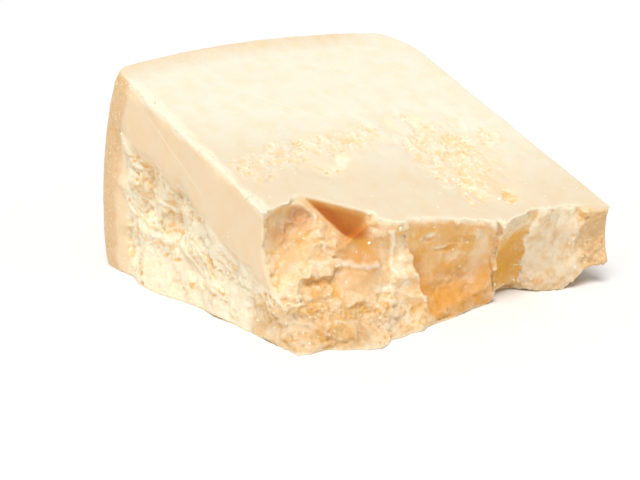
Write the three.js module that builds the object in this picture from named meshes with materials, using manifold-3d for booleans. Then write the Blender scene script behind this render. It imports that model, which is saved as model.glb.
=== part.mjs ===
import * as THREE from 'three';
import { mergeVertices } from 'three/addons/utils/BufferGeometryUtils.js';
import Module from 'manifold-3d';

// A chunk of hard aged cheese: a thin sector of a large wheel, lying on one of its two radial cuts.
// The other radial cut is its sloping top. The wheel's rounded side is its tall back, the wheel's
// flat face its right end, and a knife cut its left end. The pointed tip is broken off, which leaves
// a craggy front. Everything is in millimetres with +Z up.
//
// The solid is shaped in wheel coordinates: X runs along the wheel's own axis from the left end,
// "radius" is the distance from that axis, and "turn" goes from 0 on the ground to 1 on the top cut.

// ---- Driving dimensions -------------------------------------------------------------------------

const WHEEL_RADIUS = 220;                      // at the two flat faces of the wheel
const BARREL_BULGE = 8;                        // how much fatter the wheel is at the middle
const CHUNK_WIDTH = 146;                       // along the wheel's axis
const SECTOR_ANGLE = THREE.MathUtils.degToRad(22.5);
const END_CUT_SLANT = 0.06;                    // the left cut leans inwards by this much a millimetre
const END_CUT_SWELL = 1.8;                     // and bellies out by this much beside the rind
const SHOULDER = { along: 12, radial: 22 };    // rounding between the wheel's side and its flat face
const WORN_CORNER = { along: 3, radial: 4 };   // rounding where the rind meets the left cut

// The broken front: its upper rim on the top cut, and its foot on the ground, as radius over X.
const FRONT_RIM = [[6, 122], [16, 124], [26, 128], [42, 112], [45, 106], [57, 101], [79, 95], [87, 89],
  [108, 92], [121, 91], [132, 88], [146, 84]];
const FRONT_FOOT = [[7, 98], [12, 94], [27, 85], [46, 86], [62, 88], [80, 89], [95, 90], [100, 95],
  [108, 93], [122, 84], [146, 73]];
const FRONT_HOLLOWS = [
  { x: 17, z: 41, wide: 8, tall: 6, deep: 3.5 },
  { x: 24, z: 21, wide: 8, tall: 4, deep: 3 },
  { x: 104, z: 16, wide: 6, tall: 12, deep: 2 },
];
// Size and relief of the chips that the break left, and the X past which it is nearly smooth.
const FRONT_CRAG = { chip: 13, depth: 3.6, smoothFrom: 72, smoothTo: 84, leastShare: 0.2 };
const RIM_DEPTH = 0.3;                         // the share of the front's height that the rim spares

// The left cut: a knife sliced its upper part, and the rest tore away below this line.
const TEAR_LINE = { radius: 124, height: 27, rise: 0.47 };
const TEAR = { chip: 12, depth: 1.9, sink: 1.6, fade: 10, foot: -4, clear: 12 };
const TEAR_RIND = { from: 201, to: 206 };      // the rind was cut, not torn
const SWELL = { from: 150, to: 205 };
const TEAR_HOLLOWS = [
  { y: 182, z: 42, wide: 5, tall: 9, deep: 2.5 },
  { y: 187, z: 31, wide: 5, tall: 6, deep: 5 },
  { y: 172, z: 29, wide: 9, tall: 7, deep: 5 },
  { y: 163, z: 40, wide: 5, tall: 6, deep: 2 },
  { y: 198, z: 17, wide: 5, tall: 17, deep: 2.5 },
  { y: 182, z: 0, wide: 17, tall: 9, deep: -4 },
];

// The top cut: a knife sliced it, and a patch near the right front crumbled a little.
const TOP_CRUMBLE = { chip: 9, depth: 1.5 };
const TOP_PATCHES = [
  { x: 112, radius: 136, along: 20, radial: 34 },
  { x: 96, radius: 118, along: 14, radial: 24 },
  { x: 44, radius: 146, along: 16, radial: 16 },
  { x: 78, radius: 154, along: 22, radial: 12 },
];
const TOP_PATCH_EDGE = { from: 0.3, to: 0.8 };

// The two cut edges of the top are a little chipped.
const RIM_CHIPS = { depth: 1.2, front: 7, left: 9, reach: 5 };

// The smooth shell-shaped scar that a flake left in the front: a short steep wall on its left, then
// a hollow face that runs out to the right block. x, y and top give the wall's deep edge at the rim.
// On its way down the face leans, turns to face the front, and flares out to the foot.
const SCAR = {
  x: 56, y: 96.4, top: 38, wide: 34, fall: 13, wall: 5, out: 24, belly: 3.2, lean: -0.2, undercut: 0.1,
  easing: 0.015, flare: 0.05, flareFrom: 20, low: -2, high: 60, steps: 18,
};

// The notch that a knife point opened under the upper rim: a valley with two flat walls, given by its
// two ends and by the way each wall climbs from it.
const NOTCH_TOP = new THREE.Vector3(24.5, 119.3, 50.5);
const NOTCH_FOOT = new THREE.Vector3(40.4, 110.4, 31.9);
const NOTCH_LEFT_WALL = new THREE.Vector3(-20, -4.7, -9);
const NOTCH_RIGHT_WALL = new THREE.Vector3(18, -14.5, -6);
const NOTCH_REACH = 30;

// The slanting trough under the notch, and the nearly upright groove beside the right block, whose
// middle at the height z moves by leanX and leanY for each mm above it.
const TROUGH = { x: 34, y: 92, z: 26, along: 9, out: 17, up: 16, lean: 0.7 };
const GROOVE = {
  x: 91.5, y: 82.5, z: 31, leanX: -0.18, leanY: -0.3, wide: 1.3, deep: 4.5, low: -4, high: 60,
  around: 10, steps: 12,
};

// The lower right corner broke away and clears the ground.
const CORNER_BREAK = { x: 128, y: 102, rise: 8.5, front: 78, reach: 60, bank: 1, below: 2 };
const UNDERCUT = { x: 105, y: 84, z: -1, along: 13, out: 14, up: 6 };

// The walls of the hollows waver by this much, in waves of this length.
const RIPPLE = { depth: 0.6, step: 14 };
const HOLLOW_FACETS = { around: 28, down: 18 };

// How far the chips of broken cheese step and tilt, as shares of the relief's depth, and how much of
// that relief is chips and how much is the finer grain on them.
const CHIP = { step: 0.6, tilt: 1.6 };
const CRAG_MIX = { chips: 0.75, grain: 0.45 };

// The block is laid out in this many cells, whose corners wander by this share of a cell.
const CELLS = { along: 38, radial: 28, up: 15 };
const CELL_WANDER = 0.3;
const WELD = 1e-4;
const CHEESE = { color: 0xf4dfb4, roughness: 0.62, metalness: 0 };

// Each random draw has its own seed, and a draw of chips takes the few that follow it too.
const SEED = {
  front: 11, grain: 23, frontRim: 31, tear: 41, leftRim: 53, crumble: 61, ripple: 71, groove: 79,
  cellAlong: 83, cellRadial: 89, cellUp: 97,
};

// ---- Numbers that repeat from run to run ----------------------------------------------------------

// A random number from 0 to 1 for one corner of a lattice.
function latticeRandom(ix, iy, iz, seed) {
  let bits = Math.imul(ix, 374761393) ^ Math.imul(iy, 668265263);
  bits ^= Math.imul(iz, 1442695041) ^ Math.imul(seed + 1, 1274126177);
  bits = Math.imul(bits ^ (bits >>> 13), 1103515245);
  bits = Math.imul(bits ^ (bits >>> 15), 668265263);
  return ((bits ^ (bits >>> 16)) >>> 0) / 4294967296;
}

// Smooth noise from -1 to 1 whose lumps are about one lattice step across.
function smoothNoise(x, y, z, step, seed) {
  const ix = Math.floor(x / step);
  const iy = Math.floor(y / step);
  const iz = Math.floor(z / step);
  const fx = THREE.MathUtils.smoothstep(x / step - ix, 0, 1);
  const fy = THREE.MathUtils.smoothstep(y / step - iy, 0, 1);
  const fz = THREE.MathUtils.smoothstep(z / step - iz, 0, 1);
  let sum = 0;
  for (let corner = 0; corner < 8; corner += 1) {
    const cx = corner & 1;
    const cy = (corner >> 1) & 1;
    const cz = corner >> 2;
    const weight = (cx ? fx : 1 - fx) * (cy ? fy : 1 - fy) * (cz ? fz : 1 - fz);
    sum += weight * latticeRandom(ix + cx, iy + cy, iz + cz, seed);
  }
  return 2 * sum - 1;
}

// Broken cheese parts along the grain of its crystals into flat chips at uneven heights. Space is
// shared out between scattered chip centres, and each chip has its own height and tilt.
function chipHeight(x, y, z, size, seed) {
  const point = new THREE.Vector3(x, y, z).divideScalar(size);
  const home = point.clone().floor();
  const centre = new THREE.Vector3();
  const offset = new THREE.Vector3();
  let nearest = Infinity;
  let height = 0;
  for (let dx = -1; dx <= 1; dx += 1) {
    for (let dy = -1; dy <= 1; dy += 1) {
      for (let dz = -1; dz <= 1; dz += 1) {
        const cell = [home.x + dx, home.y + dy, home.z + dz];
        centre.set(
          cell[0] + latticeRandom(...cell, seed),
          cell[1] + latticeRandom(...cell, seed + 1),
          cell[2] + latticeRandom(...cell, seed + 2),
        );
        offset.subVectors(point, centre);
        if (offset.lengthSq() < nearest) {
          nearest = offset.lengthSq();
          const tilt = new THREE.Vector3(
            latticeRandom(...cell, seed + 3) - 0.5,
            latticeRandom(...cell, seed + 4) - 0.5,
            latticeRandom(...cell, seed + 5) - 0.5,
          );
          const step = 2 * latticeRandom(...cell, seed + 6) - 1;
          height = CHIP.step * step + CHIP.tilt * offset.dot(tilt);
        }
      }
    }
  }
  return THREE.MathUtils.clamp(height, -1, 1);
}

// Chips with a finer grain on them, from about -1 to 1.
function crag(x, y, z, size, seed) {
  const grain = smoothNoise(x, y, z, size / 2, seed + SEED.grain - SEED.front);
  return CRAG_MIX.chips * chipHeight(x, y, z, size, seed) + CRAG_MIX.grain * grain;
}

// Straight lines between [position, value] pairs.
function alongTable(table, position) {
  let last = table[0];
  for (const next of table.slice(1)) {
    if (position <= next[0]) {
      const share = THREE.MathUtils.clamp((position - last[0]) / (next[0] - last[0]), 0, 1);
      return THREE.MathUtils.lerp(last[1], next[1], share);
    }
    last = next;
  }
  return last[1];
}

// One soft-edged spot, 1 at its middle.
function spot(across, along) {
  return Math.exp(-across * across - along * along);
}

// ---- The faces of the chunk -----------------------------------------------------------------------

// The wheel's side bulges like a barrel.
function rindRadius(x) {
  const fromMiddle = (x - CHUNK_WIDTH / 2) / (CHUNK_WIDTH / 2);
  return WHEEL_RADIUS + BARREL_BULGE * (1 - fromMiddle * fromMiddle);
}

// The broken front leans out from its rim to its foot, and is steepest at its rim.
function frontRadius(x, turn) {
  const rim = alongTable(FRONT_RIM, x);
  const foot = alongTable(FRONT_FOOT, x);
  const plain = THREE.MathUtils.lerp(foot, rim, THREE.MathUtils.smoothstep(turn, -0.15, 1.05));
  const smooth = THREE.MathUtils.smoothstep(x, FRONT_CRAG.smoothFrom, FRONT_CRAG.smoothTo);
  const belowRim = THREE.MathUtils.smoothstep(1 - turn, 0, RIM_DEPTH);
  const amount = THREE.MathUtils.lerp(1, FRONT_CRAG.leastShare, smooth) * belowRim;
  const height = turn * rim * Math.sin(SECTOR_ANGLE);
  let radius = plain + FRONT_CRAG.depth * crag(x, plain, height, FRONT_CRAG.chip, SEED.front) * amount;
  radius += RIM_CHIPS.depth * smoothNoise(x, 0, 0, RIM_CHIPS.front, SEED.frontRim) * (1 - belowRim);
  for (const hollow of FRONT_HOLLOWS) {
    radius += hollow.deep * spot((x - hollow.x) / hollow.wide, (height - hollow.z) / hollow.tall);
  }
  return radius;
}

// The left cut is flat where the knife sliced it and sunken and rough where it tore.
function endCut(y, z) {
  const top = y * Math.tan(SECTOR_ANGLE);
  const belly = Math.sqrt(Math.max(Math.sin(Math.PI * z / top), 0));
  const swell = END_CUT_SWELL * belly * THREE.MathUtils.smoothstep(y, SWELL.from, SWELL.to);
  const tearTop = TEAR_LINE.height + TEAR_LINE.rise * (y - TEAR_LINE.radius);
  const below = THREE.MathUtils.smoothstep(tearTop - z, 0, TEAR.fade);
  const inside = 1 - THREE.MathUtils.smoothstep(y, TEAR_RIND.from, TEAR_RIND.to);
  const amount = below * inside * THREE.MathUtils.smoothstep(z, TEAR.foot, TEAR.clear);
  let x = END_CUT_SLANT * (WHEEL_RADIUS - y) - swell;
  x += (TEAR.sink + TEAR.depth * crag(0, y, z, TEAR.chip, SEED.tear)) * amount;
  for (const hollow of TEAR_HOLLOWS) {
    x += hollow.deep * spot((y - hollow.y) / hollow.wide, (z - hollow.z) / hollow.tall);
  }
  const atRim = THREE.MathUtils.smoothstep(z, top - RIM_CHIPS.reach, top);
  return x + RIM_CHIPS.depth * smoothNoise(0, y, 0, RIM_CHIPS.left, SEED.leftRim) * atRim;
}

// How far the top cut has crumbled below its plane.
function topCrumble(x, radius) {
  let share = 0;
  for (const patch of TOP_PATCHES) {
    share += spot((x - patch.x) / patch.along, (radius - patch.radius) / patch.radial);
  }
  const amount = THREE.MathUtils.smoothstep(share, TOP_PATCH_EDGE.from, TOP_PATCH_EDGE.to);
  const chips = chipHeight(x, radius, 0, TOP_CRUMBLE.chip, SEED.crumble);
  return TOP_CRUMBLE.depth * amount * (0.5 + 0.5 * chips);
}

// Rounds one corner of the outline: the two distances past the start of the rounding come back
// moved onto a quarter of an ellipse.
function roundCorner(along, radial, corner) {
  const a = along / corner.along;
  const r = radial / corner.radial;
  if (a <= 0 || r <= 0) {
    return [along, radial];
  }
  return [along * Math.sqrt(1 - r * r / 2), radial * Math.sqrt(1 - a * a / 2)];
}

// Carries a point of the unit block into the chunk: u to the right, v to the rind, turn upwards.
function chunkPoint(u, v, turn) {
  const roughRadius = THREE.MathUtils.lerp(FRONT_RIM[0][1], WHEEL_RADIUS, v);
  const cutX = END_CUT_SLANT * (WHEEL_RADIUS - roughRadius);
  const straightX = THREE.MathUtils.lerp(cutX, CHUNK_WIDTH, u);
  const rind = rindRadius(straightX);
  let radius = THREE.MathUtils.lerp(frontRadius(straightX, turn), rind, v);
  const crumble = turn === 1 ? topCrumble(straightX, radius) : 0;
  const angle = SECTOR_ANGLE * turn - crumble / radius;
  const left = endCut(radius * Math.cos(angle), radius * Math.sin(angle));
  let x = THREE.MathUtils.lerp(left, CHUNK_WIDTH, u);

  const shoulderX = CHUNK_WIDTH - SHOULDER.along;
  const shoulderRadius = rind - SHOULDER.radial;
  const [pastX, pastRadius] = roundCorner(x - shoulderX, radius - shoulderRadius, SHOULDER);
  x = shoulderX + pastX;
  radius = shoulderRadius + pastRadius;

  const wornX = left + WORN_CORNER.along;
  const wornRadius = rind - WORN_CORNER.radial;
  const [leftOf, outOf] = roundCorner(wornX - x, radius - wornRadius, WORN_CORNER);
  x = wornX - leftOf;
  radius = wornRadius + outOf;
  return new THREE.Vector3(x, radius * Math.cos(angle), radius * Math.sin(angle));
}

// ---- Solids ---------------------------------------------------------------------------------------

const wasm = await Module();
wasm.setup();

// Turns a closed geometry into a solid that can be joined and cut.
function solidOf(geometry) {
  const bare = geometry.clone();
  bare.deleteAttribute('normal');
  bare.deleteAttribute('uv');
  const merged = mergeVertices(bare, WELD);
  return new wasm.Manifold(new wasm.Mesh({
    numProp: 3,
    vertProperties: new Float32Array(merged.attributes.position.array),
    triVerts: new Uint32Array(merged.index.array),
  }));
}

// Turns a solid back into a geometry.
function geometryOf(solid) {
  const mesh = solid.getMesh();
  const geometry = new THREE.BufferGeometry();
  geometry.setAttribute('position', new THREE.BufferAttribute(mesh.vertProperties, 3));
  geometry.setIndex(new THREE.BufferAttribute(mesh.triVerts, 1));
  geometry.computeVertexNormals();
  return geometry;
}

// Moves every corner of a geometry by a rule.
function reshape(geometry, rule) {
  const position = geometry.attributes.position;
  const corner = new THREE.Vector3();
  for (let i = 0; i < position.count; i += 1) {
    corner.fromBufferAttribute(position, i);
    position.setXYZ(i, ...rule(corner).toArray());
  }
  return geometry;
}

// A cell corner inside a face wanders a little, so that the chips don't line up in rows.
function wander(share, cells, ...indexAndSeed) {
  if (share < 0.5 / cells || share > 1 - 0.5 / cells) {
    return Math.round(share);
  }
  return share + CELL_WANDER * (latticeRandom(...indexAndSeed) - 0.5) / cells;
}

// The whole sector, before any of it is cut away.
function makeSector() {
  const block = new THREE.BoxGeometry(1, 1, 1, CELLS.along, CELLS.radial, CELLS.up);
  return reshape(block, (p) => {
    const share = p.clone().addScalar(0.5);
    const index = [
      Math.round(share.x * CELLS.along), Math.round(share.y * CELLS.radial), Math.round(share.z * CELLS.up),
    ];
    return chunkPoint(
      wander(share.x, CELLS.along, ...index, SEED.cellAlong),
      wander(share.y, CELLS.radial, ...index, SEED.cellRadial),
      wander(share.z, CELLS.up, ...index, SEED.cellUp),
    );
  });
}

// An ellipsoid with a slightly uneven skin, which shifts along X by "lean" for each mm that it rises.
function makeHollow({ x, y, z, along, out, up, lean = 0 }) {
  const ball = new THREE.SphereGeometry(1, HOLLOW_FACETS.around, HOLLOW_FACETS.down);
  return reshape(ball, (p) => {
    const reach = new THREE.Vector3(p.x * along, p.y * out, p.z * up);
    const waver = RIPPLE.depth * smoothNoise(reach.x, reach.y, reach.z, RIPPLE.step, SEED.ripple);
    reach.addScaledVector(p, waver);
    return new THREE.Vector3(x + reach.x + lean * reach.z, y + reach.y, z + reach.z);
  });
}

// The cutter of the scar: its section is drawn as if seen from above, and changes on its way down.
function makeScar() {
  const section = new THREE.Shape();
  section.moveTo(0, 0);
  section.lineTo(-SCAR.wall, -SCAR.out);
  section.lineTo(SCAR.wide, -SCAR.out);
  section.lineTo(SCAR.wide, -SCAR.fall);
  section.quadraticCurveTo(SCAR.wide / 2, SCAR.belly - SCAR.fall / 2, 0, 0);
  const block = new THREE.ExtrudeGeometry(section, { depth: 1, steps: SCAR.steps, bevelEnabled: false });
  return reshape(block, (p) => {
    const z = THREE.MathUtils.lerp(SCAR.low, SCAR.high, p.z);
    const below = SCAR.top - z;
    const flare = SCAR.flare * Math.max(below - SCAR.flareFrom, 0) ** 2;
    const waver = RIPPLE.depth * smoothNoise(p.x, 0, z, RIPPLE.step, SEED.ripple);
    const y = p.y < -SCAR.fall - 1 ? p.y : p.y * (1 - SCAR.easing * below);
    return new THREE.Vector3(
      SCAR.x + p.x - SCAR.lean * below, SCAR.y + y + SCAR.undercut * below - flare + waver, z,
    );
  });
}

// The prism that opens the notch, from its valley out to both walls.
function makeNotch() {
  const valley = new THREE.Vector3().subVectors(NOTCH_FOOT, NOTCH_TOP);
  const length = valley.length();
  valley.normalize();
  const wallDirection = (wall) => wall.clone().addScaledVector(valley, -wall.dot(valley)).normalize();
  const left = wallDirection(NOTCH_LEFT_WALL);
  const across = new THREE.Vector3().crossVectors(valley, left);
  const right = wallDirection(NOTCH_RIGHT_WALL);
  const section = new THREE.Shape();
  section.moveTo(0, 0);
  section.lineTo(NOTCH_REACH, 0);
  section.lineTo(NOTCH_REACH * right.dot(left), NOTCH_REACH * right.dot(across));
  section.closePath();
  const prism = new THREE.ExtrudeGeometry(section, { depth: length, bevelEnabled: false });
  const axes = new THREE.Matrix4().makeBasis(left, across, valley).setPosition(NOTCH_TOP);
  return prism.applyMatrix4(axes);
}

// A narrow upright groove where the scar meets the right block.
function makeGroove() {
  const height = GROOVE.high - GROOVE.low;
  const column = new THREE.CylinderGeometry(1, 1, height, GROOVE.around, GROOVE.steps);
  column.rotateX(Math.PI / 2);
  return reshape(column, (p) => {
    const z = p.z + height / 2 + GROOVE.low;
    const rise = z - GROOVE.z;
    const waver = RIPPLE.depth * smoothNoise(0, 0, p.z, RIPPLE.step, SEED.groove);
    const x = GROOVE.x + GROOVE.leanX * rise + p.x * GROOVE.wide + waver;
    return new THREE.Vector3(x, GROOVE.y + GROOVE.leanY * rise + p.y * GROOVE.deep, z);
  });
}

// The wedge that lifts the lower right corner off the ground.
function makeCornerBreak() {
  const { x, y, rise, front, reach, bank, below } = CORNER_BREAK;
  const slope = rise / (y - front);
  const section = new THREE.Shape();
  section.moveTo(y + below, -below * slope);
  section.lineTo(y - reach, reach * slope);
  section.lineTo(y - reach, -reach);
  section.lineTo(y + below, -reach);
  section.closePath();
  const wedge = new THREE.ExtrudeGeometry(section, { depth: 2 * reach, bevelEnabled: false });
  return reshape(wedge, (p) => new THREE.Vector3(x + p.z + bank * p.y, p.x, p.y));
}

function makeChunk() {
  let solid = solidOf(makeSector());
  const cuts = [
    makeScar(), makeNotch(), makeHollow(TROUGH), makeGroove(), makeCornerBreak(), makeHollow(UNDERCUT),
  ];
  for (const cut of cuts) {
    solid = solid.subtract(solidOf(cut));
  }
  return geometryOf(solid);
}

// ---- The model --------------------------------------------------------------------------------------

// The origin is on the ground under the middle of the chunk.
const chunkGeometry = makeChunk();
chunkGeometry.computeBoundingBox();
const middle = chunkGeometry.boundingBox.getCenter(new THREE.Vector3());

const chunk = new THREE.Mesh(chunkGeometry, new THREE.MeshStandardMaterial(CHEESE));
chunk.name = 'parmesan_chunk';
chunk.position.set(-middle.x, -middle.y, -chunkGeometry.boundingBox.min.z);

const model = new THREE.Group();
model.add(chunk);

export default model;
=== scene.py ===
"""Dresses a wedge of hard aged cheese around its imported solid: knife cuts, rind, crags and crumbs."""

import math
import random

import bmesh
import bpy
from bpy.props import FloatProperty, FloatVectorProperty, IntProperty, PointerProperty
from mathutils import Euler, Matrix, Vector, noise
from mathutils.bvhtree import BVHTree


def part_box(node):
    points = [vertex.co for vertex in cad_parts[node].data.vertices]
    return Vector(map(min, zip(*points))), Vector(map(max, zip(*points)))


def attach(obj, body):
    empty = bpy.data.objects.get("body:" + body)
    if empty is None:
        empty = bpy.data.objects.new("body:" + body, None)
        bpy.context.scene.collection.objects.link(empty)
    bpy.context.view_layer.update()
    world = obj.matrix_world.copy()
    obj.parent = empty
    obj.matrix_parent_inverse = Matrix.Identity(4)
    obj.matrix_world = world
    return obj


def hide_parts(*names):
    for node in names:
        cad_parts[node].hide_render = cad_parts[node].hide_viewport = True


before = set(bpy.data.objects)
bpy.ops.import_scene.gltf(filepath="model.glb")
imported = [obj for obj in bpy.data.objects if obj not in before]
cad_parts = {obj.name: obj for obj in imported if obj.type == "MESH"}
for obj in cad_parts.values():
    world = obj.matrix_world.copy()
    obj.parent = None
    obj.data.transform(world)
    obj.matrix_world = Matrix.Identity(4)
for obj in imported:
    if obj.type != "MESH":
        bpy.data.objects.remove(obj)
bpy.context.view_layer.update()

bl_info = {
    "name": "Aged Cheese Chunk",
    "version": (1, 0, 0),
    "blender": (4, 5, 0),
    "location": "3D Viewport > Sidebar > Cheese",
    "description": "Dresses a wedge of hard aged cheese with its cut faces, rind, crags and crumbs",
    "category": "Add Mesh",
}

# ---- The wheel that the chunk was cut from --------------------------------------------------------
# Shapes are worked out in wheel coordinates, in millimetres: X runs along the wheel's axis from the
# chunk's left end, Y from the axis to the rind along the ground, and Z is up.

MM = 0.001
NODE = "parmesan_chunk"
LOW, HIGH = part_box(NODE)
WHEEL_RADIUS = 220.0
BARREL_BULGE = 8.0
WIDTH = 146.0
SECTOR_ANGLE = math.radians(22.5)
END_CUT_SLANT = 0.06
SHOULDER_ALONG = 12.0
SHOULDER_RADIAL = 22.0
AXIS_PLACE = Vector((HIGH.x - WIDTH * MM, HIGH.y - (WHEEL_RADIUS + BARREL_BULGE) * MM, 0.0))

# The line on the left cut below which the cheese tore: its height at a radius, and its rise.
TEAR_RADIUS = 124.0
TEAR_HEIGHT = 24.0
TEAR_RISE = 0.45
TORN_TO = 199.0
TEAR_WANDER = 3.0

# The scar, whose two sides lean, the golden block beside it and the valley of the notch.
SCAR_LEFT = 56.5
SCAR_RIGHT = 90.0
SCAR_LEAN = -0.2
SCAR_TOP = 38.0
SCAR_FOOT = 3.0
BLOCK_LEFT = 96.0
BLOCK_CAP = 26.0
NOTCH_LEFT = 24.5
NOTCH_RIGHT = 44.0
NOTCH_TOP = 50.5
NOTCH_FALL = 1.17
NOTCH_FOOT = 31.0

# The front goes this far past the left cut, this high where its toe runs on, and this far back.
FRONT_PAST_LEFT = (1.0, 2.4)
TOE_HEIGHT = (12.0, 18.0)
FRONT_BACK = (120.0, 126.0)
# Between these heights the scar's foot is rough, takes painted shade and turns golden, the gold partly
# painted shade, and here the rind's side starts.
SCAR_ROUGH_FOOT = (14.0, 24.0)
SCAR_SHADED_FOOT = (8.0, 24.0)
SCAR_GOLDEN_FOOT = (8.0, 26.0)
RIND_SIDE = (130.0, 133.0)
# Size and reach of the noise that makes the borders of gold and pale patches ragged.
PATCH_BORDER = (4.0, 1.6)

# Between these depths a break takes over from the top cut, the rind, the ground and the left cut.
BREAK_UNDER_TOP = (0.5, 1.6)
BREAK_IN_RIND = (0.6, 2.0)
BREAK_OFF_GROUND = (0.1, 1.0)
BREAK_IN_LEFT = (0.7, 1.7)
LEFT_REACH = 3.2
# The crumbled patches of the top end between these depths, and between these distances from the rind.
CRUMBLED_DEPTH = (1.8, 3.0)
CRUMBLED_OFF_RIND = (8.0, 14.0)
WORN_OFF_RIND = (8.0, 16.0)
WORN_DEPTH = 4.0

HALF = Vector((0.5, 0.5, 0.5))

# Noise vectors are drawn from this seed, so that every run makes the same relief.
NOISE_SEED = 7
noise.seed_set(NOISE_SEED)


def linear(hex_colour):
    """Turns an sRGB hex colour into linear red, green and blue."""
    channels = [int(hex_colour[i:i + 2], 16) / 255 for i in (1, 3, 5)]
    return [c / 12.92 if c <= 0.04045 else ((c + 0.055) / 1.055) ** 2.4 for c in channels]


# ---- What a user can change -----------------------------------------------------------------------


class CheeseSizes(bpy.types.PropertyGroup):
    """Sizes of the cheese's relief."""

    voxel: FloatProperty(
        name="Grain of the mesh", description="Size of the cells that the solid is remeshed with",
        default=0.62 * MM, min=0.4 * MM, unit="LENGTH", precision=5,
    )
    faces: IntProperty(
        name="Triangles", description="How many triangles the finished chunk keeps",
        default=190000, min=20000,
    )
    chip_depth: FloatProperty(
        name="Chip depth", description="Relief of the flat chips on the broken faces",
        default=1.2 * MM, min=0.0, unit="LENGTH", precision=5,
    )
    grain_depth: FloatProperty(
        name="Grain depth", description="Relief of the small round grains on the broken faces",
        default=0.5 * MM, min=0.0, unit="LENGTH", precision=5,
    )
    rind: FloatProperty(
        name="Rind thickness", description="How deep the dry rind reaches into the cheese",
        default=13.0 * MM, min=0.0, unit="LENGTH", precision=5,
    )
    crumbs: IntProperty(
        name="Crumbs", description="How many crumbs cling to the broken faces",
        default=220, min=0,
    )
    crumb: FloatProperty(
        name="Crumb radius", description="Radius of a middling crumb",
        default=0.5 * MM, min=0.1 * MM, unit="LENGTH", precision=5,
    )


class CheeseColours(bpy.types.PropertyGroup):
    """Colours of the cheese."""

    paste: FloatVectorProperty(
        name="Paste", description="The cheese where a knife sliced it",
        default=linear("#F1DBBB"), subtype="COLOR", min=0.0, max=1.0,
    )
    crag: FloatVectorProperty(
        name="Broken paste", description="The granular cheese where it broke",
        default=linear("#FFEDCE"), subtype="COLOR", min=0.0, max=1.0,
    )
    amber: FloatVectorProperty(
        name="Amber", description="Clean, slightly translucent facets of the break",
        default=linear("#EEBE7E"), subtype="COLOR", min=0.0, max=1.0,
    )
    # Gold is the own colour of gritty pits and dense spots, and also painted shade in hollows, creases,
    # undersides and at the scar's foot.
    golden: FloatVectorProperty(
        name="Gold", description="The pits and the dense spots of the break",
        default=linear("#EDB243"), subtype="COLOR", min=0.0, max=1.0,
    )
    # Deep amber is painted shade on the walls of the break that lie in shade: the notch's wall, the
    # corner recess and the scar's foot.
    deep: FloatVectorProperty(
        name="Deep amber", description="The shaded wall of the notch",
        default=linear("#C46E26"), subtype="COLOR", min=0.0, max=1.0,
    )
    # Chalk is the colour of dry grains, flakes and crystals, and also painted light on crests and proud
    # points, over the torn left end and on the crumbled top.
    chalk: FloatVectorProperty(
        name="Chalk", description="Dry grains, flakes and crystals that stand proud",
        default=linear("#FBEFD5"), subtype="COLOR", min=0.0, max=1.0,
    )
    # The dried top's two colours are paler than the paste, partly from drying and partly as painted
    # light, where the most light falls.
    top_front: FloatVectorProperty(
        name="Top, front", description="The dried top cut towards the broken front",
        default=linear("#E5D5BA"), subtype="COLOR", min=0.0, max=1.0,
    )
    top_back: FloatVectorProperty(
        name="Top, back", description="The dried top cut towards the rind",
        default=linear("#EBE6D2"), subtype="COLOR", min=0.0, max=1.0,
    )
    rind: FloatVectorProperty(
        name="Rind", description="The dry rind where it was cut through",
        default=linear("#E3BD8B"), subtype="COLOR", min=0.0, max=1.0,
    )
    skin: FloatVectorProperty(
        name="Skin", description="The brushed outside of the rind",
        default=linear("#D9AE6C"), subtype="COLOR", min=0.0, max=1.0,
    )


class CheeseStage(bpy.types.PropertyGroup):
    """The table, the light and the camera."""

    floor: FloatVectorProperty(
        name="Paper", description="The seamless paper under the cheese",
        default=linear("#EFEFEE"), subtype="COLOR", min=0.0, max=1.0,
    )
    floor_size: FloatProperty(
        name="Paper size", description="Side of the sheet of paper",
        default=12.0, min=1.0, unit="LENGTH",
    )
    sky: FloatProperty(
        name="Tent", description="Brightness of the white tent all round", default=0.47, min=0.0,
    )
    key: FloatProperty(
        name="Key light", description="Strength of the wide soft light overhead", default=2.5, min=0.0,
    )
    key_spread: FloatProperty(
        name="Key spread", description="How wide the soft light overhead looks from the cheese",
        default=math.radians(32), min=0.0, subtype="ANGLE", unit="ROTATION",
    )
    lens: FloatProperty(
        name="Lens", description="Focal length on a 36 mm sensor", default=64.69, min=10.0,
    )
    camera_place: FloatVectorProperty(
        name="Camera", description="Where the camera stands in wheel coordinates",
        default=(-0.2073, -0.19052, 0.16409), subtype="XYZ", unit="LENGTH",
    )
    camera_turn: FloatVectorProperty(
        name="Camera turn", description="How far the camera is tipped up from straight down, and turned",
        default=(math.radians(71.174), 0.0, math.radians(-38.037)), subtype="EULER", unit="ROTATION",
    )


# ---- Places on the cheese -------------------------------------------------------------------------


def ramp(value, low, high):
    """Rises smoothly from 0 at low to 1 at high."""
    share = max(0.0, min(1.0, (value - low) / (high - low)))
    return share * share * (3.0 - 2.0 * share)


def band(value, low, high, edge):
    """1 between low and high and 0 outside, with soft edges."""
    return ramp(value, low - edge, low + edge) * (1.0 - ramp(value, high - edge, high + edge))


def spot(across, up):
    """1 in the middle of a rounded patch and 0 past its edge, both given as shares of its size."""
    return math.exp(-((across * across + up * up) ** 2))


def wave(p, size, shift=Vector()):
    """Smooth noise from about -0.5 to 0.5, with waves as long as the size."""
    return noise.noise(p / size + shift)


def billows(p, size, octaves, fineness=0.8):
    """Noise of several sizes on top of each other, the largest as long as the size."""
    return noise.fractal(p / size, fineness, 2.0, octaves)


def wandering(p, size, reach=1.0):
    """A point moved aside by noise, which makes the borders that are worked out at it ragged."""
    return p + reach * noise.noise_vector(p / size)


def wheel_point(co):
    """A point of the frame in wheel coordinates and millimetres."""
    return (co - AXIS_PLACE) / MM


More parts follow.
